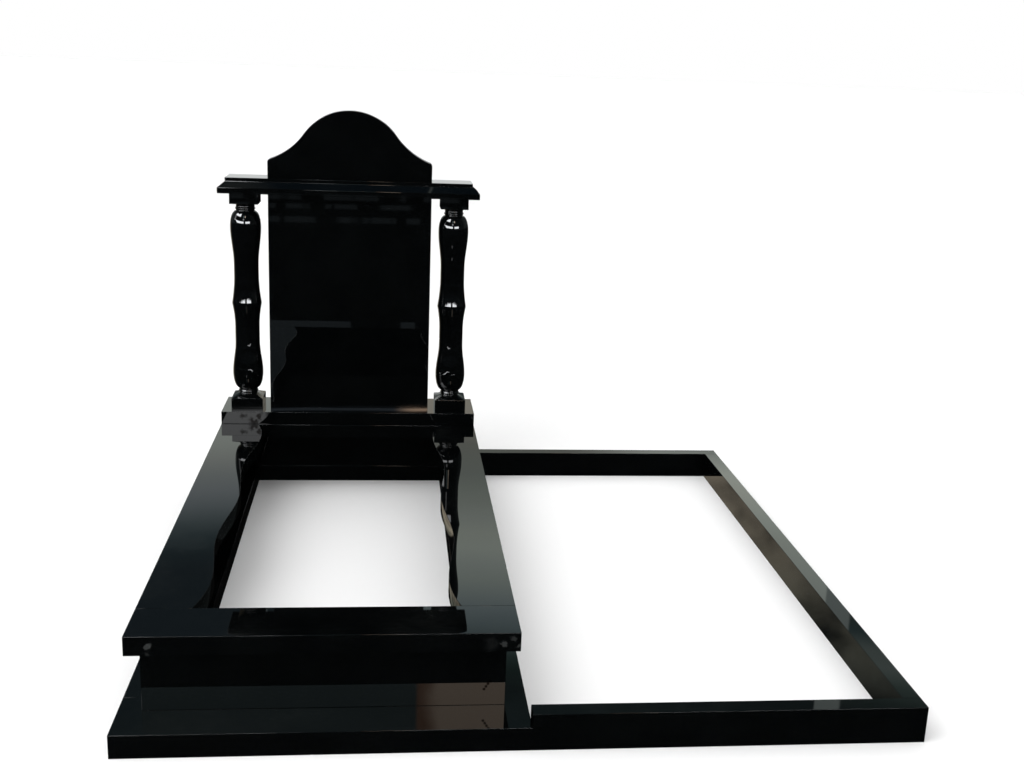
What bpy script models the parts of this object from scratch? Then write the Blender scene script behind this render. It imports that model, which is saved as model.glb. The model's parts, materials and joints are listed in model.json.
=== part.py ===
"""A kerbed memorial in black polished granite.

On the left, a raised grave surround: a ring of base slabs flat on the ground, a ring of
upright riser slabs on it, and a ring of cover slabs whose inner edge waves round a long
planting bed. At its rear end stand a plinth, two turned columns, a tablet between them,
a moulded beam and a bell-topped pediment. On the right, three plain kerbs frame a second
plot of the same length.

Metres, +Z up, front towards -Y. The origin is on the ground, in the middle of the whole
memorial's outline.
"""

import math

import bmesh
import bpy
from mathutils import Vector

# Joints
joint_gap = 0.0003            # between any two stones that touch

# Base ring, flat on the ground
base_width = 0.950
base_thickness = 0.058
base_front_depth = 0.168
base_side_width = 0.140
base_rear_depth = 0.106       # flush with the riser's inner face

# Riser ring, upright slabs on the base
riser_height = 0.153
riser_thickness = 0.040

# Cover ring, on the riser
cover_width = 0.900
cover_length = 1.862
cover_thickness = 0.047
cover_overhang = 0.030        # past the riser, all round
cover_front_depth = 0.147
cover_front_setback = 0.077   # from the base's front edge
cover_rear_setback = 0.036    # from the base's rear edge

# Waved inner edge of the cover, as half widths of the bed
bed_half_middle = 0.300       # at the middle of its length
bed_half_belly = 0.3225       # at the two widest places
bed_half_waist = 0.296        # at the two narrow places near the ends
bed_half_corner = 0.319       # where it meets the front and rear slabs
bed_belly_share = 0.40        # places along the half length, from the middle
bed_waist_share = 0.80
bed_wave_points = 5           # steps in each stretch of the wave

# Headstone
plinth_depth = 0.202
plinth_thickness = 0.044
plinth_bed_strip = 0.007      # cover that shows between the bed and the plinth
column_height = 0.768
column_spacing = 0.7285       # axis to axis
column_foot_side = 0.111      # square block under the shaft
column_foot_height = 0.036
column_cap_side = 0.098       # square block on the shaft
column_cap_height = 0.038
tablet_width = 0.567
tablet_thickness = 0.060
beam_length = 0.900
beam_depth = 0.157
beam_height = 0.0525
beam_fascia = 0.0195          # plain lower band
beam_fillet = 0.0130          # plain upper band
beam_splay_reach = 0.024      # how far the splay between them steps in
pediment_height = 0.235
pediment_shoulder = 0.064     # height of the rounded corners
pediment_crown_radius = 0.195
pediment_shoulder_slope = math.radians(20.0)
pediment_corner_radius = 0.009
pediment_crown_steps = 10
pediment_hollow_steps = 9
pediment_corner_steps = 4

# Turned shaft of a column, between its blocks. Shares run from its foot to its head.
neck_radius = 0.0322
ring_radius = 0.0345
waist_radius = 0.0426
bulge_radius = 0.0530
crest_radius = 0.0515         # soft ridge near the middle
ring_shares = (0.010, 0.978)  # small ring on each neck
ring_half_height = 0.0035
neck_shares = (0.026, 0.966)  # where a neck begins to swell
bulge_shares = (0.111, 0.884)
low_waist_shares = (0.278, 0.365)
high_waist_shares = (0.624, 0.690)
crest_share = 0.484
crest_power = 1.8             # how hollow the rise to the crest is
foot_shoulder_height = 0.0125  # slope from the foot block in to the neck
cap_shoulder_height = 0.0035  # slope from the cap block in to the neck
column_segments = 28
ring_steps = 4
swell_steps = 4

# Kerbs of the second plot
kerb_plot_width = 0.945       # from the base to the far face of the kerb
kerb_height = 0.092
kerb_thickness = 0.046

# Edges
slab_arris = 0.0020           # bevel on the slabs
headstone_arris = 0.0015      # bevel on the headstone's stones

# Places worked out from the sizes
base_length = cover_front_setback + cover_length + cover_rear_setback
whole_width = base_width + kerb_plot_width
ground_z = 0.0
tomb_x = -whole_width / 2 + base_width / 2
base_left = tomb_x - base_width / 2
base_right = tomb_x + base_width / 2
front_y = -base_length / 2
rear_y = base_length / 2
base_top = ground_z + base_thickness
riser_bottom = base_top + joint_gap
riser_top = riser_bottom + riser_height
cover_bottom = riser_top + joint_gap
cover_top = cover_bottom + cover_thickness
cover_front = front_y + cover_front_setback
cover_rear = rear_y - cover_rear_setback
plinth_bottom = cover_top + joint_gap
plinth_top = plinth_bottom + plinth_thickness
plinth_front = cover_rear - plinth_depth
headstone_line = plinth_front + plinth_depth / 2   # middle of every stone on the plinth
column_bottom = plinth_top + joint_gap
column_top = column_bottom + column_height
beam_bottom = column_top + joint_gap
beam_top = beam_bottom + beam_height
pediment_bottom = beam_top + joint_gap
tablet_height = column_height
tablet_front = headstone_line - tablet_thickness / 2

granite_color = (0.012, 0.013, 0.015, 1.0)
granite_roughness = 0.06
sharp_angle = math.radians(32.0)
level_tolerance = 1e-5        # corners closer in height than this lie in one ring


def clear_scene():
    for item in list(bpy.data.objects):
        bpy.data.objects.remove(item, do_unlink=True)


def stone(name):
    """Black polished granite, a material for each piece."""
    material = bpy.data.materials.new(name + "_granite")
    material.use_nodes = True
    shader = material.node_tree.nodes["Principled BSDF"]
    shader.inputs["Base Color"].default_value = granite_color
    shader.inputs["Roughness"].default_value = granite_roughness
    shader.inputs["Metallic"].default_value = 0.0
    material.diffuse_color = granite_color
    return material


def add_object(name, mesh_data, parent, place):
    """Write a bmesh to a named object that stands under a parent."""
    bmesh.ops.recalc_face_normals(mesh_data, faces=mesh_data.faces[:])
    mesh = bpy.data.meshes.new(name)
    mesh_data.to_mesh(mesh)
    mesh_data.free()
    piece = bpy.data.objects.new(name, mesh)
    bpy.context.collection.objects.link(piece)
    piece.data.materials.append(stone(name))
    piece.parent = parent
    piece.location = place
    return piece


def add_group(name):
    holder = bpy.data.objects.new(name, None)
    bpy.context.collection.objects.link(holder)
    return holder


def ease_edges(piece, width):
    """Break the sharp edges, as a mason does with a rubbing block."""
    bevel = piece.modifiers.new("arris", "BEVEL")
    bevel.width = width
    bevel.segments = 1
    bevel.limit_method = "ANGLE"
    bevel.angle_limit = sharp_angle


def slab(name, parent, x_span, y_span, z_span, arris=slab_arris):
    """A rectangular slab between two limits on each axis."""
    low = Vector((x_span[0], y_span[0], z_span[0]))
    high = Vector((x_span[1], y_span[1], z_span[1]))
    size = high - low
    block = bmesh.new()
    bmesh.ops.create_cube(block, size=1.0)
    bmesh.ops.scale(block, vec=size, verts=block.verts[:])
    piece = add_object(name, block, parent, place=(low + high) / 2)
    ease_edges(piece, arris)
    return piece


def face_from_points(mesh_data, points):
    corners = [mesh_data.verts.new(point) for point in points]
    return mesh_data.faces.new(corners)


def raise_face(mesh_data, face, along):
    """Extrude a face into a solid along a vector."""
    raised = bmesh.ops.extrude_face_region(mesh_data, geom=[face])
    moved = [item for item in raised["geom"] if isinstance(item, bmesh.types.BMVert)]
    bmesh.ops.translate(mesh_data, verts=moved, vec=along)


def ring_of_slabs(prefix, parent, span, widths, z_span):
    """Four slabs round a rectangle; the front and rear ones run the full width."""
    left, right, front, rear = span
    front_depth, side_width, rear_depth = widths
    side_front = front + front_depth + joint_gap
    side_rear = rear - rear_depth - joint_gap
    slab(prefix + "_front", parent, (left, right), (front, front + front_depth), z_span)
    slab(prefix + "_rear", parent, (left, right), (rear - rear_depth, rear), z_span)
    slab(prefix + "_left", parent, (left, left + side_width), (side_front, side_rear), z_span)
    slab(prefix + "_right", parent, (right - side_width, right), (side_front, side_rear), z_span)


def base_ring(parent):
    span = (base_left, base_right, front_y, rear_y)
    widths = (base_front_depth, base_side_width, base_rear_depth)
    ring_of_slabs("base", parent, span, widths, (ground_z, base_top))


def riser_ring(parent):
    half = cover_width / 2 - cover_overhang
    front = cover_front + cover_overhang
    rear = cover_rear - cover_overhang
    span = (tomb_x - half, tomb_x + half, front, rear)
    widths = (riser_thickness, riser_thickness, riser_thickness)
    ring_of_slabs("riser", parent, span, widths, (riser_bottom, riser_top))


def half_cosine(start, end, along):
    """A smooth step from one value to the next, along going from 0 to 1."""
    return start + (end - start) * (1.0 - math.cos(math.pi * along)) / 2


def bed_half_width(share):
    """Half width of the bed at a share of its half length, 0 in the middle, 1 at an end."""
    share = abs(share)
    if share < bed_belly_share:
        return half_cosine(bed_half_middle, bed_half_belly, share / bed_belly_share)
    if share < bed_waist_share:
        along = (share - bed_belly_share) / (bed_waist_share - bed_belly_share)
        return half_cosine(bed_half_belly, bed_half_waist, along)
    along = (share - bed_waist_share) / (1.0 - bed_waist_share)
    return bed_half_waist + (bed_half_corner - bed_half_waist) * along ** 2


def wave_shares():
    """Places along the bed's length where the waved edge gets a point."""
    stations = (0.0, bed_belly_share, bed_waist_share, 1.0)
    half = []
    for start, end in zip(stations[:-1], stations[1:]):
        for step in range(bed_wave_points):
            half.append(start + (end - start) * step / bed_wave_points)
    half.append(1.0)
    return [-share for share in reversed(half[1:])] + half


def cover_ring(parent):
    half = cover_width / 2
    z_span = (cover_bottom, cover_top)
    bed_front = cover_front + cover_front_depth
    bed_rear = plinth_front - plinth_bed_strip
    across = (tomb_x - half, tomb_x + half)
    slab("cover_front", parent, across, (cover_front, bed_front), z_span)
    slab("cover_rear", parent, across, (bed_rear, cover_rear), z_span)
    middle = (bed_front + bed_rear) / 2
    reach = (bed_rear - bed_front) / 2
    side_front = bed_front + joint_gap
    side_rear = bed_rear - joint_gap
    for name, hand in (("cover_left", -1.0), ("cover_right", 1.0)):
        outline = [Vector((hand * half, side_front, 0.0))]
        for share in wave_shares():
            along = min(max(middle + reach * share, side_front), side_rear)
            outline.append(Vector((hand * bed_half_width(share), along, 0.0)))
        outline.append(Vector((hand * half, side_rear, 0.0)))
        side = bmesh.new()
        face = face_from_points(side, outline)
        raise_face(side, face, Vector((0.0, 0.0, cover_thickness)))
        piece = add_object(name, side, parent, place=(tomb_x, 0.0, cover_bottom))
        ease_edges(piece, slab_arris)


def plinth(parent):
    half = cover_width / 2
    across = (tomb_x - half, tomb_x + half)
    depth = (plinth_front, cover_rear)
    height = (plinth_bottom, plinth_top)
    slab("headstone_plinth", parent, across, depth, height, headstone_arris)


def neck_ring_outline(middle, length):
    """A small half round on the neck, as shares along the shaft and radii."""
    points = []
    for step in range(ring_steps + 1):
        turn = math.pi * step / ring_steps
        place = middle - ring_half_height / length * math.cos(turn)
        points.append((place, neck_radius + (ring_radius - neck_radius) * math.sin(turn)))
    return points


def round_out(start, end):
    """The quick round from a neck out to its bulge, up to but without the bulge."""
    points = []
    for step in range(swell_steps):
        turn = math.pi / 2 * step / swell_steps
        place = start + (end - start) * (1.0 - math.cos(turn))
        points.append((place, neck_radius + (bulge_radius - neck_radius) * math.sin(turn)))
    return points


def flow(start, end, radius, next_radius):
    """The long curve between a bulge and a waist, with both ends."""
    points = []
    for step in range(swell_steps + 1):
        along = step / swell_steps
        place = start + (end - start) * along
        points.append((place, half_cosine(radius, next_radius, along)))
    return points


def rise_to_crest(start):
    """The hollow rise from a straight waist, up to but without the crest."""
    points = []
    for step in range(swell_steps):
        along = step / swell_steps
        place = start + (crest_share - start) * along
        points.append((place, waist_radius + (crest_radius - waist_radius) * along ** crest_power))
    return points


def shaft_profile(length):
    """The shaft's outline from its foot up, as pairs of height and radius."""
    low_bulge, high_bulge = bulge_shares
    points = [(0.0, neck_radius)] + neck_ring_outline(ring_shares[0], length)
    points += round_out(neck_shares[0], low_bulge)
    points += flow(low_bulge, low_waist_shares[0], bulge_radius, waist_radius)
    points += rise_to_crest(low_waist_shares[1])
    points += [(crest_share, crest_radius)]
    points += reversed(rise_to_crest(high_waist_shares[0]))
    points += flow(high_waist_shares[1], high_bulge, waist_radius, bulge_radius)
    points += reversed(round_out(neck_shares[1], high_bulge))
    points += neck_ring_outline(ring_shares[1], length) + [(1.0, neck_radius)]
    return [(place * length, radius) for place, radius in points]


def open_block(mesh_data, side, low, high, open_side):
    """A square block between two heights, one end left open; returns that end's rim."""
    corners = bmesh.ops.create_cube(mesh_data, size=1.0)["verts"]
    bmesh.ops.scale(mesh_data, vec=(side, side, high - low), verts=corners)
    bmesh.ops.translate(mesh_data, vec=(0.0, 0.0, (low + high) / 2), verts=corners)
    faces = {face for corner in corners for face in corner.link_faces}
    end = max(faces, key=lambda face: open_side * face.calc_center_median().z)
    rim = list(end.edges)
    bmesh.ops.delete(mesh_data, geom=[end], context="FACES_ONLY")
    return rim


def open_end(mesh_data, height):
    """The open loop of edges at one end of the turned shaft."""
    return [edge for edge in mesh_data.edges if edge.is_boundary
            and all(abs(corner.co.z - height) < level_tolerance for corner in edge.verts)]


def column_mesh():
    """One column: a turned shaft between two square blocks, one closed stone."""
    body = bmesh.new()
    shaft_low = column_foot_height + foot_shoulder_height
    shaft_high = column_height - column_cap_height - cap_shoulder_height
    profile = shaft_profile(shaft_high - shaft_low)
    verts = [body.verts.new((radius, 0.0, shaft_low + height)) for height, radius in profile]
    edges = [body.edges.new(pair) for pair in zip(verts[:-1], verts[1:])]
    bmesh.ops.spin(body, geom=verts + edges, cent=(0.0, 0.0, 0.0), axis=(0.0, 0.0, 1.0),
                   angle=math.tau, steps=column_segments, use_merge=True)
    foot_rim = open_block(body, column_foot_side, 0.0, column_foot_height, 1.0)
    bmesh.ops.bridge_loops(body, edges=foot_rim + open_end(body, shaft_low))
    cap_low = column_height - column_cap_height
    cap_rim = open_block(body, column_cap_side, cap_low, column_height, -1.0)
    bmesh.ops.bridge_loops(body, edges=cap_rim + open_end(body, shaft_high))
    return body


def columns(parent):
    for name, hand in (("column_left", -1.0), ("column_right", 1.0)):
        place = (tomb_x + hand * column_spacing / 2, headstone_line, column_bottom)
        piece = add_object(name, column_mesh(), parent, place=place)
        piece.data.shade_smooth()
        piece.data.set_sharp_from_angle(angle=sharp_angle)


def tablet(parent):
    half = tablet_width / 2
    across = (tomb_x - half, tomb_x + half)
    depth = (tablet_front, tablet_front + tablet_thickness)
    height = (column_bottom, column_bottom + tablet_height)
    slab("tablet", parent, across, depth, height, headstone_arris)


def beam_section():
    """Height above the beam's underside and how far the face has stepped in.

    A plain splay rises from the fascia to the fillet.
    """
    return [
        (0.0, 0.0),
        (beam_fascia, 0.0),
        (beam_height - beam_fillet, beam_splay_reach),
        (beam_height, beam_splay_reach),
    ]


def beam(parent):
    """The moulded beam: the splay turns both front corners and the back is plain."""
    half = beam_length / 2
    front = headstone_line - beam_depth / 2
    rear = headstone_line + beam_depth / 2
    stone_block = bmesh.new()
    section = beam_section()
    corners = [(-half, front, 0.0), (half, front, 0.0), (half, rear, 0.0), (-half, rear, 0.0)]
    face = face_from_points(stone_block, [Vector(corner) for corner in corners])
    for (low, step_in), (high, next_in) in zip(section[:-1], section[1:]):
        raised = bmesh.ops.extrude_face_region(stone_block, geom=[face])
        top = [item for item in raised["geom"] if isinstance(item, bmesh.types.BMVert)]
        for corner in top:
            corner.co.x -= math.copysign(next_in - step_in, corner.co.x)
            corner.co.z += high - low
            if corner.co.y < (front + rear) / 2:
                corner.co.y += next_in - step_in
        if low > 0.0:
            bmesh.ops.delete(stone_block, geom=[face], context="FACES_ONLY")
        face = next(item for item in raised["geom"] if isinstance(item, bmesh.types.BMFace))
    piece = add_object("beam", stone_block, parent, place=(tomb_x, 0.0, beam_bottom))
    ease_edges(piece, headstone_arris)


def arc(centre, radius, start, end, steps):
    """Points on an arc in the XZ plane, angles from +X towards +Z."""
    points = []
    for step in range(steps + 1):
        turn = start + (end - start) * step / steps
        points.append(Vector((centre[0] + radius * math.cos(turn), 0.0,
                              centre[1] + radius * math.sin(turn))))
    return points


def pediment_half_outline():
    """Right half of the bell outline, from the crown down to the rounded corner.

    A round crown runs into a hollow, which is tangent to it and ends on the corner.
    """
    radius = pediment_crown_radius
    slope = pediment_shoulder_slope
    crown = Vector((0.0, pediment_height - radius))
    corner = Vector((tablet_width / 2 - pediment_corner_radius,
                     pediment_shoulder - pediment_corner_radius))
    outward = Vector((math.sin(slope), math.cos(slope)))
    shoulder = corner + outward * pediment_corner_radius
    reach = shoulder - crown
    hollow_radius = (reach.length_squared - radius ** 2) / (2.0 * (radius - reach.dot(outward)))
    hollow = shoulder + outward * hollow_radius
    between = hollow - crown
    meet = math.atan2(between.y, between.x)
    points = arc(crown, radius, math.pi / 2, meet, pediment_crown_steps)
    points += arc(hollow, hollow_radius, meet + math.pi, 1.5 * math.pi - slope,
                  pediment_hollow_steps)[1:]
    points += arc(corner, pediment_corner_radius, math.pi / 2 - slope, 0.0,
                  pediment_corner_steps)[1:]
    return points


def pediment(parent):
    half = tablet_width / 2
    right = pediment_half_outline()
    left = [Vector((-point.x, 0.0, point.z)) for point in reversed(right[1:])]
    foot = [Vector((half, 0.0, 0.0)), Vector((-half, 0.0, 0.0))]
    top_stone = bmesh.new()
    face = face_from_points(top_stone, foot + left + right)
    raise_face(top_stone, face, Vector((0.0, tablet_thickness, 0.0)))
    place = (tomb_x, tablet_front, pediment_bottom)
    piece = add_object("pediment", top_stone, parent, place=place)
    ease_edges(piece, headstone_arris)


def kerbs(parent):
    """Three kerbs on the ground; the front and rear ones run out to the corners."""
    left = base_right + joint_gap
    right = base_right + kerb_plot_width
    height = (ground_z, ground_z + kerb_height)
    front_span = (front_y, front_y + kerb_thickness)
    rear_span = (rear_y - kerb_thickness, rear_y)
    side_span = (front_span[1] + joint_gap, rear_span[0] - joint_gap)
    slab("kerb_front", parent, (left, right), front_span, height)
    slab("kerb_rear", parent, (left, right), rear_span, height)
    slab("kerb_right", parent, (right - kerb_thickness, right), side_span, height)


def main():
    clear_scene()
    memorial = add_group("kerbed_memorial")
    surround = add_group("grave_surround")
    headstone = add_group("headstone")
    second_plot = add_group("second_plot")
    for group in (surround, headstone, second_plot):
        group.parent = memorial
    base_ring(surround)
    riser_ring(surround)
    cover_ring(surround)
    plinth(headstone)
    columns(headstone)
    tablet(headstone)
    beam(headstone)
    pediment(headstone)
    kerbs(second_plot)


main()
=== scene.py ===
# %% [markdown]
# # A kerbed memorial in polished black granite
# This lesson dresses a memorial of twenty-one granite stones. On the left stands a raised
# surround with a planting bed and a headstone. On the right three low kerbs frame a second
# plot. The stones are cut to size already, so the first step loads them as a fixed frame.
# Each stone's box is read from that frame, and so each dressed stone lies where the cut stone lies.

# %% Load the cut stones
import json
import math

import bmesh
import bpy
from mathutils import Matrix, Vector


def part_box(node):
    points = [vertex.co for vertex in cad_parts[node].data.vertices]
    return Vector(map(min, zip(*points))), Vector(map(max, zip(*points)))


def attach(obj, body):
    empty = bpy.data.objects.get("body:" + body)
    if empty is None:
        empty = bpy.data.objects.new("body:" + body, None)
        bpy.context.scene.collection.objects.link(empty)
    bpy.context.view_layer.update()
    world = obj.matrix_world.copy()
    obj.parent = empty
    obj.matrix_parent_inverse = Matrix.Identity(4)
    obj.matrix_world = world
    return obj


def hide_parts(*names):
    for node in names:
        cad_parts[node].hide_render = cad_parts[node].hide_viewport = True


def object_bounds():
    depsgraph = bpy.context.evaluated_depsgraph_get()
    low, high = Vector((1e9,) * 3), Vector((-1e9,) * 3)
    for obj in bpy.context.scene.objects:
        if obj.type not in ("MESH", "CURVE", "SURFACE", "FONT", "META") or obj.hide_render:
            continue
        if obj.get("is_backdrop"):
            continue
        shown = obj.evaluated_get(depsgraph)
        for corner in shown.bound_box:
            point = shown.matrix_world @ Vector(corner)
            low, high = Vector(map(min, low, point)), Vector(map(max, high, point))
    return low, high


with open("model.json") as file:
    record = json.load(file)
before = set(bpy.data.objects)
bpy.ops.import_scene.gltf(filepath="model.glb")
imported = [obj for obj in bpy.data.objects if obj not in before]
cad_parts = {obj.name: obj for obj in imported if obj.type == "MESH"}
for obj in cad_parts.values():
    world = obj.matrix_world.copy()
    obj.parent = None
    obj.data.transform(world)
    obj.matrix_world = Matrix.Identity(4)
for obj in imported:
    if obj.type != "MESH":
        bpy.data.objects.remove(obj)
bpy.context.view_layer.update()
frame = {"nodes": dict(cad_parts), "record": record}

print("stones:", len(frame["nodes"]))

# %% [markdown]
# ## The camera
# A camera is placed by a spot, a direction and a lens. The spot is a little right of the
# surround's middle, about two and a half metres in front of it and a metre and a half up.
# The three turns are kept apart: first the tilt down from level, then the swing to the
# right, then a small lean.

# %% Place the camera
photo_width = 1024
focal_pixels = 1203.37
tilt_down = math.radians(14.679)
swing_right = math.radians(6.168)
lean = math.radians(2.196)
eye = Vector((-0.3406, -3.4380, 1.5198))

lens = bpy.data.cameras.new("photo_camera")
lens.sensor_width = 36.0
lens.lens = focal_pixels * lens.sensor_width / photo_width
lens.clip_end = 1000.0
camera = bpy.data.objects.new("photo_camera", lens)
bpy.context.scene.collection.objects.link(camera)
upright = Matrix.Rotation(math.pi / 2 - tilt_down, 4, "X")
camera.matrix_world = (Matrix.Translation(eye) @ Matrix.Rotation(-swing_right, 4, "Z")
                       @ upright @ Matrix.Rotation(lean, 4, "Z"))
bpy.context.scene.camera = camera
print("lens in millimetres:", round(lens.lens, 2))

# %% [markdown]
# ## Shader maths as Python
# A finish is a graph of nodes. Written out link by link it is hard to read, so one small
# class wraps an output socket and lets plus, minus and times add the Math nodes. Any other
# node comes from its `node` method: the type, the settings, then what goes into its sockets.
# A wire without a socket is the empty start of a graph.

# %% A wire that does sums
class Wire:
    """One output socket of a node graph."""

    def __init__(self, tree, socket=None):
        self.tree = tree
        self.socket = socket

    def node(self, kind, settings=None, sockets=None, output=0):
        made = self.tree.nodes.new(kind)
        for name, value in (settings or {}).items():
            if name == "stops":
                self.set_stops(made.color_ramp, value)
            else:
                setattr(made, name, value)
        for name, value in (sockets or {}).items():
            if isinstance(value, Wire):
                self.tree.links.new(value.socket, made.inputs[name])
            else:
                made.inputs[name].default_value = value
        return Wire(self.tree, made.outputs[output] if made.outputs else None)

    @staticmethod
    def set_stops(ramp, stops):
        while len(ramp.elements) < len(stops):
            ramp.elements.new(1.0)
        for element, (place, color) in zip(ramp.elements, stops):
            element.position = place
            element.color = (*color, 1.0)

    def sum(self, operation, *parts):
        return self.node("ShaderNodeMath", {"operation": operation}, dict(enumerate(parts)))

    def __add__(self, other):
        return self.sum("ADD", self, other)

    def __radd__(self, other):
        return self.sum("ADD", other, self)

    def __sub__(self, other):
        return self.sum("SUBTRACT", self, other)

    def __rsub__(self, other):
        return self.sum("SUBTRACT", other, self)

    def __mul__(self, other):
        return self.sum("MULTIPLY", self, other)

    def __rmul__(self, other):
        return self.sum("MULTIPLY", other, self)

    def __truediv__(self, other):
        return self.sum("DIVIDE", self, other)

    def step(self, low, high):
        """0 up to low, 1 from high on, and smooth between them."""
        settings = {"interpolation_type": "SMOOTHSTEP"}
        sockets = {"Value": self, "From Min": low, "From Max": high}
        if low > high:
            sockets["From Min"], sockets["From Max"] = high, low
            return 1 - self.node("ShaderNodeMapRange", settings, sockets)
        return self.node("ShaderNodeMapRange", settings, sockets)

    def within(self, low, high, margin):
        """1 from low to high, and fading to 0 over a margin on both sides."""
        return self.step(low - margin, low) * self.step(high + margin, high)

    def blend(self, first, second):
        """First colour where this wire is 0, second where it is 1."""
        return self.node("ShaderNodeMix", {"data_type": "RGBA"},
                         {0: self, 6: first, 7: second}, output=2)


print("a wire can:", [name for name in vars(Wire) if not name.startswith("_")])

# %% [markdown]
# ## The room
# Polished black granite has hardly a colour of its own. What the eye sees on it is the
# room. So the room is made in two layers. The floor and the backdrop that the camera sees
# are plain and pale, and the floor is made as bright as the backdrop so that no line shows
# between them. What the stone mirrors is an open-air surrounding, which later steps paint.
# The floor is one large face. It hides from mirror rays, because it would cover the painted
# ground.

# %% The pale floor
sheet = bmesh.new()
bmesh.ops.create_grid(sheet, x_segments=1, y_segments=1, size=300.0)
floor_mesh = bpy.data.meshes.new("floor")
sheet.to_mesh(floor_mesh)
sheet.free()
floor = bpy.data.objects.new("floor", floor_mesh)
bpy.context.scene.collection.objects.link(floor)
floor.visible_glossy = False
plaster = bpy.data.materials.new("pale_floor")
plaster.use_nodes = True
plaster_sockets = plaster.node_tree.nodes["Principled BSDF"].inputs
plaster_sockets["Base Color"].default_value = (0.86, 0.86, 0.86, 1.0)
plaster_sockets["Roughness"].default_value = 0.9
floor_mesh.materials.append(plaster)
floor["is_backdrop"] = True
print("faces on the floor:", len(floor_mesh.polygons))

# %% [markdown]
# One wide lamp, high on the left, lays the soft shadow under the stones. It hides from
# mirror rays too, or its disk would show on every polished face.

# %% The soft lamp
lamp_spot = Vector((-2.6, -2.2, 4.2))
lamp_target = Vector((0.0, 0.0, 0.3))
soft_lamp = bpy.data.lights.new("soft_lamp", "AREA")
soft_lamp.shape = "DISK"
soft_lamp.size = 3.5
soft_lamp.energy = 110.0
lamp = bpy.data.objects.new("soft_lamp", soft_lamp)
lamp.location = lamp_spot
lamp.rotation_euler = (lamp_target - lamp_spot).to_track_quat("-Z", "Y").to_euler()
lamp.visible_glossy = False
bpy.context.scene.collection.objects.link(lamp)
bpy.context.scene.view_settings.view_transform = "Standard"
print("lamp at", [round(part, 2) for part in lamp.location])

# %% [markdown]
# ## The mirrored surrounding
# It could be a picture on a sphere, but a graph of nodes needs no file and keeps its edges
# sharp. The graph needs two angles for each direction: its height above the horizon, and
# its bearing from straight ahead or straight behind. All angles are in degrees. A ramp over
# the height gives the shades from low to high, and the bearing chooses between ramps.

# %% The two angles of a direction
world = bpy.data.worlds.new("surroundings")
bpy.context.scene.world = world
world.use_nodes = True
world.node_tree.nodes.clear()
start = Wire(world.node_tree)
direction = start.node("ShaderNodeTexCoord", output="Generated")
parts = direction.node("ShaderNodeSeparateXYZ", None, {"Vector": direction}).socket.node
across = Wire(world.node_tree, parts.outputs["X"])
along = Wire(world.node_tree, parts.outputs["Y"])
rise = Wire(world.node_tree, parts.outputs["Z"])
to_degrees = 180.0 / math.pi
height = rise.sum("ARCSINE", rise) * to_degrees
bearing = across.sum("ARCTAN2", across, along) * to_degrees
bearing_back = across.sum("ARCTAN2", across, 0 - along) * to_degrees


def by_height(stops):
    """A colour ramp over the height above the horizon, in degrees."""
    ramp = {"stops": [((place + 90.0) / 180.0, color) for place, color in stops]}
    return height.node("ShaderNodeValToRGB", ramp, {"Fac": height / 180 + 0.5})


def along_line(where, scale, detail):
    """Noise along a line, for broken bands and ragged rims."""
    return where.node("ShaderNodeTexNoise", {"noise_dimensions": "1D"},
                      {"W": where, "Scale": scale, "Detail": detail}, output="Fac")


print("nodes for the two angles:", len(world.node_tree.nodes))

# %% [markdown]
# The flat tops of the cover and the kerbs mirror the low sky beyond the headstone. It is
# pale near the horizon and darkens with height, and it differs from left to right. So four
# ramps are written down, from the left to the far right.

# %% The low sky beyond the headstone
ahead_left = [
    (0.0, (0.95, 0.98, 0.97)), (12.0, (0.95, 0.98, 0.97)), (14.0, (0.80, 0.84, 0.80)),
    (17.6, (0.68, 0.74, 0.68)), (18.2, (0.62, 0.66, 0.62)), (18.7, (0.51, 0.56, 0.54)),
    (19.4, (0.46, 0.51, 0.52)), (20.0, (0.40, 0.45, 0.48)), (20.7, (0.26, 0.32, 0.33)),
    (21.4, (0.115, 0.16, 0.175)), (22.2, (0.060, 0.090, 0.100)), (23.0, (0.042, 0.060, 0.071)),
    (26.0, (0.044, 0.064, 0.078)), (30.0, (0.050, 0.075, 0.082)), (42.0, (0.08, 0.10, 0.11)),
    (65.0, (0.02, 0.04, 0.06)),
]
ahead_right = [
    (0.0, (0.95, 0.98, 0.97)), (12.0, (0.95, 0.98, 0.97)), (14.0, (0.70, 0.66, 0.56)),
    (16.4, (0.70, 0.66, 0.56)), (17.1, (0.36, 0.34, 0.31)), (17.8, (0.37, 0.40, 0.35)),
    (18.9, (0.39, 0.43, 0.39)), (19.5, (0.45, 0.51, 0.46)), (20.1, (0.54, 0.60, 0.52)),
    (20.8, (0.63, 0.70, 0.65)), (21.6, (0.81, 0.89, 0.79)), (22.4, (0.90, 1.00, 0.89)),
    (23.2, (0.80, 0.90, 0.83)), (24.1, (0.71, 0.82, 0.75)), (25.1, (0.50, 0.61, 0.63)),
    (26.2, (0.32, 0.42, 0.44)), (27.6, (0.060, 0.110, 0.095)), (28.6, (0.042, 0.060, 0.060)),
    (30.0, (0.048, 0.076, 0.080)), (42.0, (0.08, 0.10, 0.11)), (65.0, (0.02, 0.04, 0.06)),
]
far_right = [
    (0.0, (0.35, 0.38, 0.36)), (17.4, (0.42, 0.46, 0.45)), (17.7, (1.24, 1.34, 1.20)),
    (19.3, (1.22, 1.28, 1.13)), (20.0, (1.12, 1.24, 1.12)), (21.1, (1.03, 1.13, 1.01)),
    (22.8, (0.96, 1.07, 0.98)), (24.5, (0.85, 0.95, 0.90)), (27.0, (0.060, 0.090, 0.090)),
    (28.5, (0.030, 0.044, 0.046)), (30.0, (0.048, 0.074, 0.078)), (42.0, (0.08, 0.10, 0.11)),
    (65.0, (0.02, 0.04, 0.06)),
]
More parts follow.
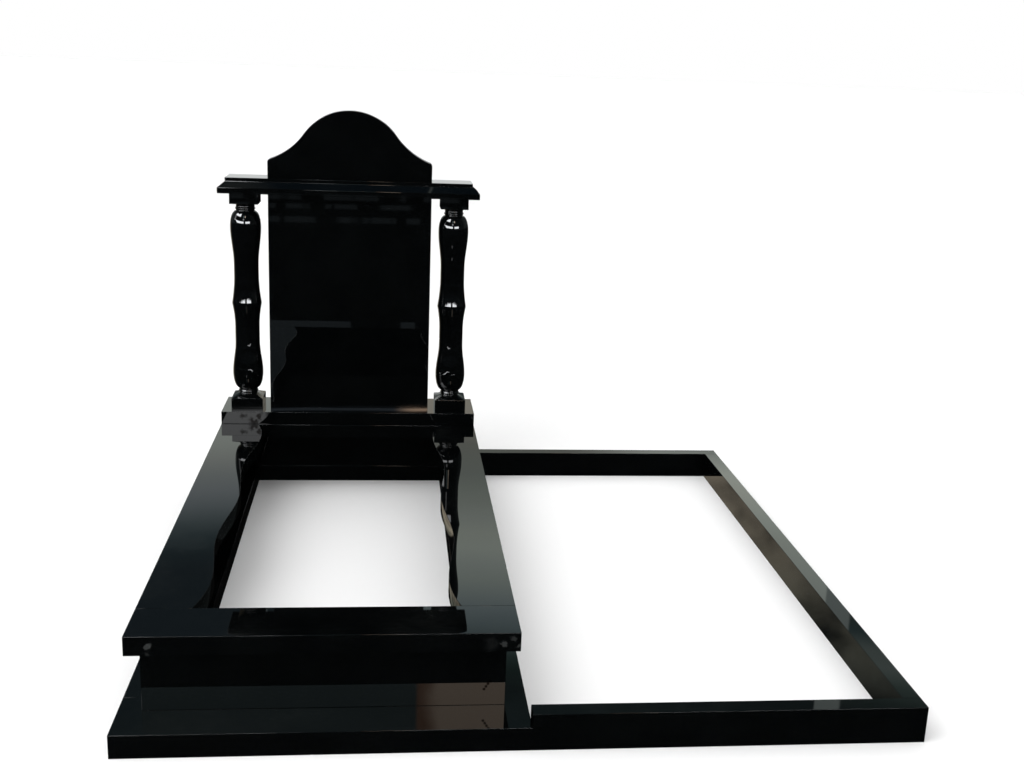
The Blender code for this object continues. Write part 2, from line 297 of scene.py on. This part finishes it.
past_strip = [
    (0.0, (0.30, 0.32, 0.30)), (23.9, (0.10, 0.13, 0.12)), (24.6, (0.090, 0.14, 0.145)),
    (25.2, (0.25, 0.31, 0.29)), (25.8, (0.35, 0.41, 0.39)), (26.3, (0.23, 0.31, 0.28)),
    (26.9, (0.11, 0.16, 0.145)), (28.0, (0.030, 0.044, 0.046)), (42.0, (0.08, 0.10, 0.11)),
    (65.0, (0.02, 0.04, 0.06)),
]
ramps = (ahead_left, ahead_right, far_right, past_strip)
print("stops in the ramps:", [len(stops) for stops in ramps])

# %% [markdown]
# The ramps are laid side by side, with a narrow pale strip between the last two. Far out to
# both sides, and low down beside the headstone, the view is dull.

# %% The view ahead
strip_color = (0.46, 0.53, 0.51, 1.0)
low_side_color = (0.09, 0.11, 0.11, 1.0)
wide_side_color = (0.14, 0.16, 0.16, 1.0)
view_ahead = bearing.step(-2.0, 2.5).blend(by_height(ahead_left), by_height(ahead_right))
view_ahead = bearing.step(9.0, 14.0).blend(view_ahead, by_height(far_right))
view_ahead = bearing.step(22.25, 22.35).blend(view_ahead, strip_color)
view_ahead = bearing.step(23.45, 23.6).blend(view_ahead, by_height(past_strip))
low_sides = height.step(14.0, 11.0) * (1 - bearing.within(-10.0, 8.0, 2.0))
view_ahead = low_sides.blend(view_ahead, low_side_color)
view_ahead = bearing.within(-45.0, 45.0, 12.0).blend(wide_side_color, view_ahead)
print("nodes so far:", len(world.node_tree.nodes))

# %% [markdown]
# The tablet, the fronts and the round columns mirror what lies behind the camera. Most of
# it is shade. A bright band with a ragged lower rim lies low on both sides, and the columns
# bend it into their small white highlights. Dim strips and one thin bright slit fall on the
# tablet.

# %% The low sky behind the camera
bright_sky = (20.0, 20.5, 21.0, 1.0)
shade = (0.030, 0.036, 0.040, 1.0)
right_shade = (0.06, 0.07, 0.07, 1.0)
dim_sky = (0.46, 0.56, 0.62, 1.0)
cool_slit = (1.3, 1.6, 1.9, 1.0)
warm_slit = (24.0, 17.0, 12.0, 1.0)

ragged_rim = 2.0 + 6.0 * along_line(bearing_back, 0.3, 3.0)
ragged_rim = ragged_rim + 5.0 * bearing_back.step(-60.0, -75.0)
above_rim = (height - ragged_rim).step(0.0, 0.4)
behind = bearing_back.step(45.0, 60.0).blend(shade, right_shade)
low_band = above_rim * height.step(12.0, 10.5) * bearing_back.within(-126.0, 36.0, 5.0)
low_band = low_band * (1 - bearing_back.within(-8.3, 5.0, 0.4))
behind = low_band.blend(behind, bright_sky)
dim_parts = bearing_back.within(-8.3, -1.8, 0.1) + bearing_back.within(0.7, 1.3, 0.08)
dim_strip = height.within(11.2, 12.2, 0.1) * dim_parts
dim_corner = height.within(11.2, 15.2, 0.15) * bearing_back.within(-14.0, -3.5, 0.1)
behind = dim_strip.sum("MAXIMUM", dim_strip, dim_corner).blend(behind, dim_sky)
slit_color = bearing_back.step(0.3, 1.5).blend(cool_slit, warm_slit)
slit = height.within(15.97, 16.06, 0.03) * bearing_back.within(-5.8, 2.1, 0.05)
behind = slit.blend(behind, slit_color)
print("nodes so far:", len(world.node_tree.nodes))

# %% [markdown]
# Higher up it is bright on the left side, and dimmer further round. Over the middle lie a
# cool patch and a warm, mottled one. The base's top mirrors both into the front riser.

# %% The high sky behind the camera
haze_color = (3.0, 3.1, 3.2, 1.0)
cool_sky = (6.4, 6.5, 6.6, 1.0)
cool_patch = (1.25, 1.70, 1.75, 1.0)
brown_patch = (4.2, 2.5, 1.7, 1.0)
cream_patch = (10.5, 8.4, 6.6, 1.0)

below_zenith = height.step(58.0, 48.0)
hazy_side = height.step(10.5, 12.0) * below_zenith * bearing_back.within(-130.0, -80.0, 4.0)
behind = hazy_side.blend(behind, height.step(30.0, 32.0).blend(haze_color, bright_sky))
open_side = height.step(28.0, 32.0) * below_zenith * bearing_back.within(-80.0, -37.0, 4.0)
behind = open_side.blend(behind, bright_sky)
gap = height.within(16.1, 22.0, 0.2) * bearing_back.within(-14.0, -5.9, 0.3)
behind = gap.blend(behind, cool_sky)

mottle = direction.node("ShaderNodeTexNoise", None,
                        {"Vector": direction, "Scale": 30.0, "Detail": 4.0}, output="Fac")
patch_heights = height.step(26.9, 27.2) * height.step(42.0, 34.0)
behind = (patch_heights * bearing_back.within(-14.0, 1.9, 0.15)).blend(behind, cool_patch)
mottled_edge = (bearing_back + 2.4 * (mottle - 0.5)).step(1.9, 3.4)
mottled_color = mottled_edge.blend(brown_patch, cream_patch)
behind = (patch_heights * bearing_back.within(1.9, 8.5, 0.2)).blend(behind, mottled_color)
sky_around = along.step(-0.15, 0.1).blend(behind, view_ahead)
print("nodes so far:", len(world.node_tree.nodes))

# %% [markdown]
# The ground is dark all round. A warmer patch lies to the left of the headstone, and the
# inner face of the right kerb mirrors it. Behind the camera three broken pale lines cross
# the ground, and they show near the top of the tablet.

# %% The mirrored ground
warm_ground = [
    (-27.5, (0.020, 0.022, 0.020)), (-26.6, (0.17, 0.18, 0.15)), (-25.2, (0.28, 0.28, 0.22)),
    (-23.0, (0.33, 0.31, 0.24)), (-21.3, (0.47, 0.42, 0.32)), (-17.0, (0.56, 0.48, 0.37)),
    (-3.0, (0.40, 0.36, 0.28)), (-1.0, (0.10, 0.10, 0.09)),
]
dark_ground = (0.012, 0.014, 0.014, 1.0)
darkest_ground = (0.003, 0.003, 0.003, 1.0)
pale_line = (0.10, 0.12, 0.13, 1.0)
line_heights = ((-6.20, -6.05, 3.0), (-6.60, -6.45, 19.0), (-7.25, -7.05, 31.0))

ground_grain = direction.node("ShaderNodeTexNoise", None,
                            {"Vector": direction, "Scale": 22.0, "Detail": 5.0}, output="Fac")
warm_area = bearing.step(-9.0, -13.0) * bearing.step(-60.0, -34.0)
warm_area = warm_area * ground_grain.step(0.15, 0.65)
ground = bearing.within(-10.0, 12.0, 2.0).blend(dark_ground, darkest_ground)
ground = warm_area.blend(ground, by_height(warm_ground))
line_mask = 0.0
for low, high, shift in line_heights:
    breaks = along_line(bearing_back + shift, 0.8, 2.0)
    line_mask = line_mask + height.within(low, high, 0.07) * breaks.step(0.44, 0.52)
ground = (along.step(0.0, -0.2) * line_mask).blend(ground, pale_line)
mirrored = height.step(-0.6, 0.4).blend(ground, sky_around)
print("pale lines on the ground:", len(line_heights))

# %% [markdown]
# Last, the kind of ray decides what it meets. The camera sees the plain backdrop, a mirror
# ray sees the surrounding, and a soft ray gets an even fill that lights the floor.

# %% Backdrop, fill and surrounding
backdrop = (1.0, 1.0, 1.0, 1.0)
studio_fill = (1.17, 1.17, 1.17, 1.0)
rays = start.node("ShaderNodeLightPath").socket.node
glossy_ray = Wire(world.node_tree, rays.outputs["Is Glossy Ray"])
diffuse_ray = Wire(world.node_tree, rays.outputs["Is Diffuse Ray"])
seen = glossy_ray.blend(diffuse_ray.blend(backdrop, studio_fill), mirrored)
background = start.node("ShaderNodeBackground", None, {"Color": seen, "Strength": 1.0})
start.node("ShaderNodeOutputWorld", None, {"Surface": background})
print("nodes in the surrounding:", len(world.node_tree.nodes))

# %% [markdown]
# ## The granite
# The stone is a very dark granite, ground and polished until it mirrors. Seen close it has
# fine grains, a few of them grey, and here and there a faint cloud. The polish is not the
# same everywhere: hands, rain and dust leave a thin film on the tops, and sawn edges stay
# duller. All of it is made from noise on the Object coordinates, which here are metres in
# the memorial's own frame. Each stone turns and shifts the pattern, so that no two stones
# share their grains.

# %% What the granite is made of
grains_per_metre = 780.0
specks_per_metre = 420.0
streaks_per_metre = 34.0
clouds_per_metre = 9.0
films_per_metre = 3.1
waves_per_metre = 2.6
wave_depth = 0.00012
black_stone = (0.0006, 0.0008, 0.0009, 1.0)
clouded_stone = (0.0011, 0.0014, 0.0015, 1.0)
grey_grain = (0.014, 0.016, 0.017, 1.0)
dust_color = (0.16, 0.17, 0.16, 1.0)


def noise(where, per_metre, detail, roughness=0.5):
    """Soft noise, with so many spots to the metre."""
    return where.node("ShaderNodeTexNoise", None,
                      {"Vector": where, "Scale": per_metre, "Detail": detail,
                       "Roughness": roughness}, output="Fac")


print("a grain in millimetres:", round(1000 / grains_per_metre, 2))

# %% [markdown]
# A chip is pale and dull. A stain swallows the light instead, and so it is nearly black and
# metallic, which takes the mirror away. Both are spots round a centre, and noise makes
# their rims crumble. The smallest ones keep a nearly even rim.

# %% Chips and stains
smallest_crumbling = 0.005


def with_marks(color, rough, place, turned, marks):
    """Adds the marks to a colour and a roughness, and returns them with the stains."""
    stain = 0.0
    for centre, radius, strength, tint, dull in marks:
        far = place.node("ShaderNodeVectorMath", {"operation": "DISTANCE"},
                         {0: place, 1: centre}, output="Value")
        crumble = noise(turned, 0.9 / radius, 4.0, 0.65)
        crumbling = 3.2 if radius > smallest_crumbling else 0.4
        ragged = far + crumbling * radius * (crumble - 0.5)
        scuff = strength * ragged.step(radius, 0.4 * radius)
        color = scuff.blend(color, tint)
        rough = rough + 0.4 * dull * scuff
        stain = stain + (1.0 - dull) * scuff
    return color, rough, stain


print("marks up to this radius keep their shape:", smallest_crumbling)

# %% [markdown]
# Now the finish itself. The colour comes from clouds, grains and dust, and the roughness
# from the clouds and the same dust. A very shallow wave bends the mirror a little, as hand
# polishing does.

# %% The polished granite
def polished_granite(name, number, haze=0.3, marks=()):
    """A granite finish. A mark is its centre, radius, strength and colour, and how dull it is."""
    finish = bpy.data.materials.new(name)
    finish.use_nodes = True
    tree = finish.node_tree
    shader = tree.nodes["Principled BSDF"]
    begin = Wire(tree)
    place = begin.node("ShaderNodeTexCoord", output="Object")
    turned = begin.node("ShaderNodeMapping", None, {
        "Vector": place,
        "Location": (1.7 * number, 0.9 * number, 2.3 * number),
        "Rotation": (0.4 * number, 0.7 * number, 1.1 * number)})
    grain = begin.node("ShaderNodeTexVoronoi", {"feature": "F1"},
                       {"Vector": turned, "Scale": grains_per_metre}, output="Color")
    chance = begin.node("ShaderNodeSeparateColor", None, {"Color": grain})
    cloud = noise(turned, clouds_per_metre, 4.0)
    speck = noise(turned, specks_per_metre, 2.0)
    film = noise(turned, films_per_metre, 6.0, 0.62)
    streak = noise(turned, streaks_per_metre, 5.0, 0.7)
    facing = begin.node("ShaderNodeNewGeometry", output="Normal")
    up = begin.node("ShaderNodeSeparateXYZ", None, {"Vector": facing}, output="Z")
    top = up.step(0.6, 0.95)

    pale_grain = chance.step(0.90, 0.97) * (0.35 + 0.65 * speck.step(0.45, 0.7))
    color = cloud.step(0.35, 0.7).blend(black_stone, clouded_stone)
    color = (0.4 * pale_grain).blend(color, grey_grain)
    dust = film.step(0.50, 0.78) * (0.35 + 0.65 * streak.step(0.3, 0.7)) * (0.15 + 0.85 * top)
    color = (0.06 * haze * dust).blend(color, dust_color)
    rough = 0.010 + 0.010 * cloud + 0.05 * haze * dust
    color, rough, stain = with_marks(color, rough, place, turned, marks)
    tree.links.new(color.socket, shader.inputs["Base Color"])
    tree.links.new(rough.socket, shader.inputs["Roughness"])
    if marks:
        tree.links.new(stain.socket, shader.inputs["Metallic"])

    wave = noise(turned, waves_per_metre, 1.0)
    bump = begin.node("ShaderNodeBump", None,
                      {"Height": wave, "Strength": 1.0, "Distance": wave_depth}, output="Normal")
    tree.links.new(bump.socket, shader.inputs["Normal"])
    shader.inputs["Specular IOR Level"].default_value = 0.5
    shader.inputs["IOR"].default_value = 1.5
    finish.diffuse_color = (0.012, 0.013, 0.015, 1.0)
    return finish


slots = [entry["slot"] for entry in frame["record"]["materials"]]
print("slots for the finish:", slots)

# %% [markdown]
# ## Slabs
# Most of the memorial is sawn slabs. A slab is a cube stretched to the box of its cut
# stone. Its sharp edges are then eased with a small round bevel, because a mason rubs every
# arris, and the thin bright line along it is what makes a slab look like stone. A mirror
# shows the smallest bend, so the flat faces are shaded flat, and only the bevels and the
# curved faces are shaded smooth.

# %% Tools for every stone
stones = []
sharp = math.radians(32.0)
arris = 0.0007
fine_arris = 0.0006
square_on = 0.999999
smallest_flat = 0.0001
largest_curved = 0.001


def sharp_edges(mesh):
    return [edge for edge in mesh.edges
            if edge.is_manifold and edge.calc_face_angle() > sharp]


def ease(mesh, edges, width, segments=3):
    bmesh.ops.bevel(mesh, geom=edges, offset=width, offset_type="OFFSET", segments=segments,
                    profile=0.5, affect="EDGES", clamp_overlap=True, material=-1)


def is_flat(face):
    """True for a face along the frame's axes, and for any large face."""
    along_axis = max(abs(part) for part in face.normal) > square_on
    return along_axis and face.area > smallest_flat or face.area > largest_curved


def finish_stone(mesh, node, haze=0.3, marks=()):
    """Turns a bmesh into the piece that stands for a cut stone."""
    bmesh.ops.recalc_face_normals(mesh, faces=mesh.faces[:])
    data = bpy.data.meshes.new(node + "_polished")
    mesh.to_mesh(data)
    mesh.free()
    for face in data.polygons:
        face.use_smooth = not is_flat(face)
    piece = bpy.data.objects.new(node + "_polished", data)
    bpy.context.scene.collection.objects.link(piece)
    data.materials.append(polished_granite(node + "_granite", len(stones) + 1, haze, marks))
    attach(piece, "root")
    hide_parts(node)
    stones.append(piece)
    return piece


print("arris in millimetres:", arris * 1000)

# %% [markdown]
# With these tools a plain slab is three steps: the block, its arrises and its finish.

# %% A plain slab
def block(low, high):
    """A box between two corners, as a bmesh."""
    mesh = bmesh.new()
    bmesh.ops.create_cube(mesh, size=1.0)
    bmesh.ops.scale(mesh, vec=high - low, verts=mesh.verts[:])
    bmesh.ops.translate(mesh, vec=(low + high) / 2, verts=mesh.verts[:])
    return mesh


def slab(node, width=arris, haze=0.3, marks=()):
    low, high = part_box(node)
    mesh = block(low, high)
    ease(mesh, mesh.edges[:], width)
    return finish_stone(mesh, node, haze, marks)


# %% [markdown]
# ## The base and the risers
# Four thin slabs lie flat on the ground and four upright slabs stand on them. They are
# plain, so each is one call. The front riser has one short dark stain near its right end,
# laid as a row of four small spots.

# %% Base and riser slabs
smear = (0.003, 0.002, 0.0015, 1.0)
riser_marks = {"front": [
    ((-0.1029 + 0.0045 * step, -0.8805, 0.0997 + 0.0069 * step), 0.0048, 0.95, smear, 0.0)
    for step in range(4)]}
for side in ("front", "left", "right", "rear"):
    slab("base_" + side, haze=0.35)
    slab("riser_" + side, haze=0.15, marks=riser_marks.get(side, ()))
print("slabs so far:", len(stones))

# %% [markdown]
# ## The cover
# The cover lies on the risers and overhangs them. Its front and rear slabs are plain. The
# two side slabs have a waved inner edge round the planting bed. The wave is a chain of half
# cosines with a quick curve at each end, given as the bed's half width at each point of its
# length.

# %% The waved edge
front_low, front_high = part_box("cover_front")
rear_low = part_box("cover_rear")[0]
tomb_x = (front_low.x + front_high.x) / 2
bed_middle = (front_high.y + rear_low.y) / 2
bed_reach = (rear_low.y - front_high.y) / 2
half_middle = 0.300
half_belly = 0.3225
half_waist = 0.296
half_corner = 0.319
belly_share = 0.40
waist_share = 0.80


def half_cosine(first, last, part):
    return first + (last - first) * (1.0 - math.cos(math.pi * part)) / 2


def bed_half_width(y):
    share = min(abs(y - bed_middle) / bed_reach, 1.0)
    if share < belly_share:
        return half_cosine(half_middle, half_belly, share / belly_share)
    if share < waist_share:
        part = (share - belly_share) / (waist_share - belly_share)
        return half_cosine(half_belly, half_waist, part)
    part = (share - waist_share) / (1.0 - waist_share)
    return half_waist + (half_corner - half_waist) * part ** 2


print("bed length in metres:", round(2 * bed_reach, 4))

# %% [markdown]
# A side starts as a plain slab too. Its long edges are divided, and the points of the inner
# edge then move to the wave.

# %% A side of the cover
wave_cuts = 96
near = 0.00001


def waved_side(node, hand, marks=()):
    low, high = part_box(node)
    inner_x = tomb_x + hand * half_middle
    if hand < 0:
        high.x = inner_x
    else:
        low.x = inner_x
    mesh = block(low, high)
    long_edges = [edge for edge in mesh.edges
                  if abs(edge.verts[0].co.y - edge.verts[1].co.y) > bed_reach]
    bmesh.ops.subdivide_edges(mesh, edges=long_edges, cuts=wave_cuts, use_grid_fill=True)
    for corner in mesh.verts:
        if abs(corner.co.x - inner_x) < near:
            corner.co.x = tomb_x + hand * bed_half_width(corner.co.y)
    ease(mesh, sharp_edges(mesh), arris)
    return finish_stone(mesh, node, haze=0.6, marks=marks)


print("divisions along a side:", wave_cuts + 1)

# %% [markdown]
# The front slab has small pale chips near both of its lower corners, and the left side has
# a dusty patch.

# %% The cover slabs
pale = (0.115, 0.122, 0.12, 1.0)
corner_chips = [
    ((-0.8706, -0.9105, 0.2330), 0.0090, 0.22, pale, 1.0),
    ((-0.8640, -0.9105, 0.2400), 0.0070, 0.12, pale, 1.0),
    ((-0.8690, -0.9105, 0.2150), 0.0060, 0.10, pale, 1.0),
    ((-0.0900, -0.9105, 0.2280), 0.0220, 0.03, pale, 1.0),
    ((-0.0605, -0.9105, 0.2300), 0.0100, 0.20, pale, 1.0),
    ((-0.0403, -0.9105, 0.2460), 0.0085, 0.12, pale, 1.0),
    ((-0.0277, -0.9105, 0.2256), 0.0070, 0.18, pale, 1.0),
]
dusty_patch = [((-0.8950, -0.3300, 0.2586), 0.0900, 0.02, pale, 1.0)]
slab("cover_front", haze=0.4, marks=corner_chips)
slab("cover_rear", haze=0.2)
left_side = waved_side("cover_left", -1.0, dusty_patch)
waved_side("cover_right", 1.0)
print("faces on a waved side:", len(left_side.data.polygons))

# %% [markdown]
# ## The headstone's slabs
# The plinth is as wide as the cover, and the tablet stands on it between the columns. Both
# are plain slabs with a finer arris than the surround's.

# %% Plinth and tablet
plinth_smears = [
    ((-0.8450, 0.7495, 0.2900), 0.014, 0.7, smear, 0.0),
    ((-0.8100, 0.7495, 0.2680), 0.018, 0.8, smear, 0.0),
    ((-0.7900, 0.7495, 0.2880), 0.018, 0.8, smear, 0.0),
]
slab("headstone_plinth", fine_arris, haze=0.05, marks=plinth_smears)
slab("tablet", fine_arris, haze=0.05)
print("stones dressed:", len(stones))

# %% [markdown]
# ## The columns
# A column is one stone: a shaft turned on a lathe between two square blocks. The lathe is
# `spin`: the outline from foot to head is drawn once and swept round the axis. From each end
# it has a neck with a small ring, a quick round out to a bulge, a long flow in to a straight
# waist, and a hollow rise to a soft crest near the middle.

# %% The outline of the shaft
foot_height = 0.036
cap_height = 0.038
foot_side = 0.111
cap_side = 0.098
foot_shoulder = 0.0125
cap_shoulder = 0.0035
neck = 0.0322
ring_out = 0.0345
waist = 0.0426
bulge = 0.0530
crest = 0.0515
ring_half = 0.0035
crest_at = 0.484
fine_steps = 14


def ring_outline(middle, length):
    """A half round on the neck."""
    return [(middle - ring_half / length * math.cos(math.pi * step / 8),
             neck + (ring_out - neck) * math.sin(math.pi * step / 8)) for step in range(9)]


def round_out(start, end):
    """From the neck out to the bulge, without the bulge."""
    angles = [math.pi / 2 * step / fine_steps for step in range(fine_steps)]
    return [(start + (end - start) * (1.0 - math.cos(angle)),
             neck + (bulge - neck) * math.sin(angle)) for angle in angles]


def flow(start, end, radius, next_radius):
    return [(start + (end - start) * step / fine_steps,
             half_cosine(radius, next_radius, step / fine_steps)) for step in range(fine_steps + 1)]


def rise_to_crest(start):
    """From the straight waist up to the crest, without the crest."""
    return [(start + (crest_at - start) * step / fine_steps,
             waist + (crest - waist) * (step / fine_steps) ** 1.8) for step in range(fine_steps)]


def shaft_outline(length):
    """Pairs of height and radius from the foot of the shaft up."""
    outline = [(0.0, neck)] + ring_outline(0.010, length) + round_out(0.026, 0.111)
    outline += flow(0.111, 0.278, bulge, waist) + rise_to_crest(0.365) + [(crest_at, crest)]
    outline += reversed(rise_to_crest(0.624))
    outline += flow(0.690, 0.884, waist, bulge) + list(reversed(round_out(0.966, 0.884)))
    outline += ring_outline(0.978, length) + [(1.0, neck)]
    return [(share * length, radius) for share, radius in outline]


print("points in the outline:", len(shaft_outline(0.678)))

# %% [markdown]
# Each end of the shaft meets a square block. A shoulder joins the block to the round neck,
# and `bridge_loops` makes it from the block's rim to the end of the shaft. For that the rim
# is cut into as many edges as the lathe has steps.

# %% A square block with an open end
lathe_steps = 96


def on_level(edge, level):
    return all(abs(corner.co.z - level) < near for corner in edge.verts)


def square_end(mesh, side, low, high, open_side):
    """A square block with one end open, its rim cut as finely as the shaft."""
    corners = bmesh.ops.create_cube(mesh, size=1.0)["verts"]
    bmesh.ops.scale(mesh, vec=(side, side, high - low), verts=corners)
    bmesh.ops.translate(mesh, vec=(0.0, 0.0, (low + high) / 2), verts=corners)
    faces = {face for corner in corners for face in corner.link_faces}
    end = max(faces, key=lambda face: open_side * face.calc_center_median().z)
    level = end.calc_center_median().z
    edges = list({edge for corner in corners for edge in corner.link_edges})
    outer = [edge for edge in edges if not on_level(edge, level)]
    rim = list(end.edges)
    bmesh.ops.delete(mesh, geom=[end], context="FACES_ONLY")
    cut = bmesh.ops.subdivide_edges(mesh, edges=rim, cuts=lathe_steps // 4 - 1)
    ring = [item for item in cut["geom"]
            if isinstance(item, bmesh.types.BMEdge) and on_level(item, level)]
    return ring, outer


def in_a_block(edge, tall):
    levels = [corner.co.z for corner in edge.verts]
    return max(levels) < foot_height + near or min(levels) > tall - cap_height - near


print("edges round a rim:", lathe_steps)

# %% [markdown]
# The column is made on the frame's axis first: the shaft, the two blocks, the shoulders and
# the arrises of the blocks. Then it moves to its place. The shoulders are shaded flat,
# because they are ground and not turned.

# %% The columns
def column(node):
    low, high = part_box(node)
    tall = high.z - low.z
    shaft_low = foot_height + foot_shoulder
    shaft_high = tall - cap_height - cap_shoulder
    mesh = bmesh.new()
    points = [mesh.verts.new((radius, 0.0, shaft_low + up))
              for up, radius in shaft_outline(shaft_high - shaft_low)]
    lines = [mesh.edges.new(pair) for pair in zip(points[:-1], points[1:])]
    bmesh.ops.spin(mesh, geom=points + lines, cent=(0.0, 0.0, 0.0), axis=(0.0, 0.0, 1.0),
                   angle=math.tau, steps=lathe_steps, use_merge=True)
    for side, bottom, top, way, level in (
            (foot_side, 0.0, foot_height, 1.0, shaft_low),
            (cap_side, tall - cap_height, tall, -1.0, shaft_high)):
        rim, outer = square_end(mesh, side, bottom, top, way)
        neck_ring = [edge for edge in mesh.edges if edge.is_boundary and on_level(edge, level)]
        bmesh.ops.bridge_loops(mesh, edges=rim + neck_ring)
    bmesh.ops.recalc_face_normals(mesh, faces=mesh.faces[:])
    square = [edge for edge in sharp_edges(mesh) if in_a_block(edge, tall)]
    ease(mesh, square, fine_arris, segments=2)
    middle = (low + high) / 2
    bmesh.ops.translate(mesh, vec=(middle.x, middle.y, low.z), verts=mesh.verts[:])
    piece = finish_stone(mesh, node, haze=0.1)
    for face in piece.data.polygons:
        level = face.center.z - low.z
        if foot_height < level < shaft_low or shaft_high < level < tall - cap_height:
            face.use_smooth = False
    return piece


for side in ("left", "right"):
    shaft = column("column_" + side)
    print(shaft.name, "has", len(shaft.data.polygons), "faces")

# %% [markdown]
# ## The beam
# The beam lies on the columns and the tablet. Its front and both ends are moulded: a plain
# band, a splay that rises and steps in, and a narrow plain band on top. The back is flat.
# It is grown from its underside: the face is extruded one step at a time and drawn in by
# the moulding's outline.

# %% The beam
fascia = 0.0195
fillet = 0.0130
splay_reach = 0.024
beam_arris = 0.0012
low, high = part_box("beam")
tall = high.z - low.z
moulding = [(0.0, 0.0), (fascia, 0.0), (tall - fillet, splay_reach), (tall, splay_reach)]

mesh = bmesh.new()
bmesh.ops.create_grid(mesh, x_segments=1, y_segments=1, size=0.5)
bmesh.ops.scale(mesh, vec=(high.x - low.x, high.y - low.y, 1.0), verts=mesh.verts[:])
bmesh.ops.translate(mesh, vec=((low.x + high.x) / 2, (low.y + high.y) / 2, low.z),
                    verts=mesh.verts[:])
face = mesh.faces[:][0]
for (level, inward), (next_level, next_inward) in zip(moulding[:-1], moulding[1:]):
    grown = bmesh.ops.extrude_face_region(mesh, geom=[face])["geom"]
    for corner in [item for item in grown if isinstance(item, bmesh.types.BMVert)]:
        draw_in = next_inward - inward
        corner.co.z += next_level - level
        corner.co.x -= math.copysign(draw_in, corner.co.x - tomb_x)
        if corner.co.y < (low.y + high.y) / 2:
            corner.co.y += draw_in
    if level > 0.0:
        bmesh.ops.delete(mesh, geom=[face], context="FACES_ONLY")
    face = next(item for item in grown if isinstance(item, bmesh.types.BMFace))
bmesh.ops.recalc_face_normals(mesh, faces=mesh.faces[:])
ease(mesh, sharp_edges(mesh), beam_arris, segments=2)
finish_stone(mesh, "beam", haze=0.2)
print("steps in the moulding:", len(moulding))

# %% [markdown]
# ## The pediment
# The top stone has a bell outline: a round crown runs into a hollow on each side and ends
# in a small rounded corner. Each of these is an arc, so one point is spun about the arc's
# centre, and the next arc starts where the last one ends. The half outline is mirrored,
# filled and extruded to the stone's thickness.

# %% The bell outline
low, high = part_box("pediment")
crown_radius = 0.195
corner_radius = 0.009
shoulder_height = 0.064
slope = math.radians(20.0)
half = (high.x - low.x) / 2
tall = high.z - low.z
crown = Vector((0.0, 0.0, tall - crown_radius))
corner_centre = Vector((half - corner_radius, 0.0, shoulder_height - corner_radius))
outward = Vector((math.sin(slope), 0.0, math.cos(slope)))
corner_top = corner_centre + outward * corner_radius
reach = corner_top - crown
hollow_radius = ((reach.length_squared - crown_radius ** 2)
                 / (2.0 * (crown_radius - reach.dot(outward))))
hollow = corner_top + outward * hollow_radius
meet = math.atan2((hollow - crown).z, (hollow - crown).x)

mesh = bmesh.new()


def arc(start, centre, angle, steps):
    """Spins one point about a centre and returns the last point of the arc."""
    spun = bmesh.ops.spin(mesh, geom=[start], cent=centre, axis=(0.0, 1.0, 0.0),
                          angle=angle, steps=steps)
    return next(item for item in spun["geom_last"] if isinstance(item, bmesh.types.BMVert))


peak = mesh.verts.new((0.0, 0.0, tall))
joined = arc(peak, crown, math.pi / 2 - meet, 30)
lip = arc(joined, hollow, -(math.pi / 2 - slope - meet), 26)
side = arc(lip, corner_centre, math.pi / 2 - slope, 8)
foot = mesh.verts.new((half, 0.0, 0.0))
mesh.edges.new((side, foot))
print("crown meets hollow at", round(math.degrees(meet), 1), "degrees")
corner_end = Vector((half, 0.0, corner_centre.z))
print("the last arc misses the side by", round((corner_end - side.co).length * 1000, 4), "mm")

# %% [markdown]
# The mirrored half brings a second point at the peak, so doubles are merged before the two
# feet are joined by the underside's edge.

# %% The pediment
same_point = 0.000001
bmesh.ops.mirror(mesh, geom=mesh.verts[:] + mesh.edges[:], axis="X", merge_dist=same_point)
bmesh.ops.remove_doubles(mesh, verts=mesh.verts[:], dist=same_point)
ends = [corner for corner in mesh.verts if len(corner.link_edges) == 1]
mesh.edges.new(ends)
bmesh.ops.contextual_create(mesh, geom=mesh.edges[:])
raised = bmesh.ops.extrude_face_region(mesh, geom=mesh.faces[:])["geom"]
bmesh.ops.translate(mesh, vec=(0.0, high.y - low.y, 0.0),
                    verts=[item for item in raised if isinstance(item, bmesh.types.BMVert)])
bmesh.ops.translate(mesh, vec=((low.x + high.x) / 2, low.y, low.z), verts=mesh.verts[:])
bmesh.ops.recalc_face_normals(mesh, faces=mesh.faces[:])
ease(mesh, sharp_edges(mesh), fine_arris)
pediment = finish_stone(mesh, "pediment", haze=0.1)
print("faces on the pediment:", len(pediment.data.polygons))

# %% [markdown]
# ## The kerbs
# Three kerbs frame the second plot. They are plain slabs, set on the ground and joined to
# the surround's base.

# %% Kerbs
for side in ("front", "right", "rear"):
    slab("kerb_" + side, haze=0.4)
print("all stones:", len(stones))

# %% [markdown]
# ## Last look at the sizes
# The size of the box round all the dressed stones is printed.

# %% Measure and finish
low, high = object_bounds()
print("dressed size in metres:", [round(side, 4) for side in high - low])
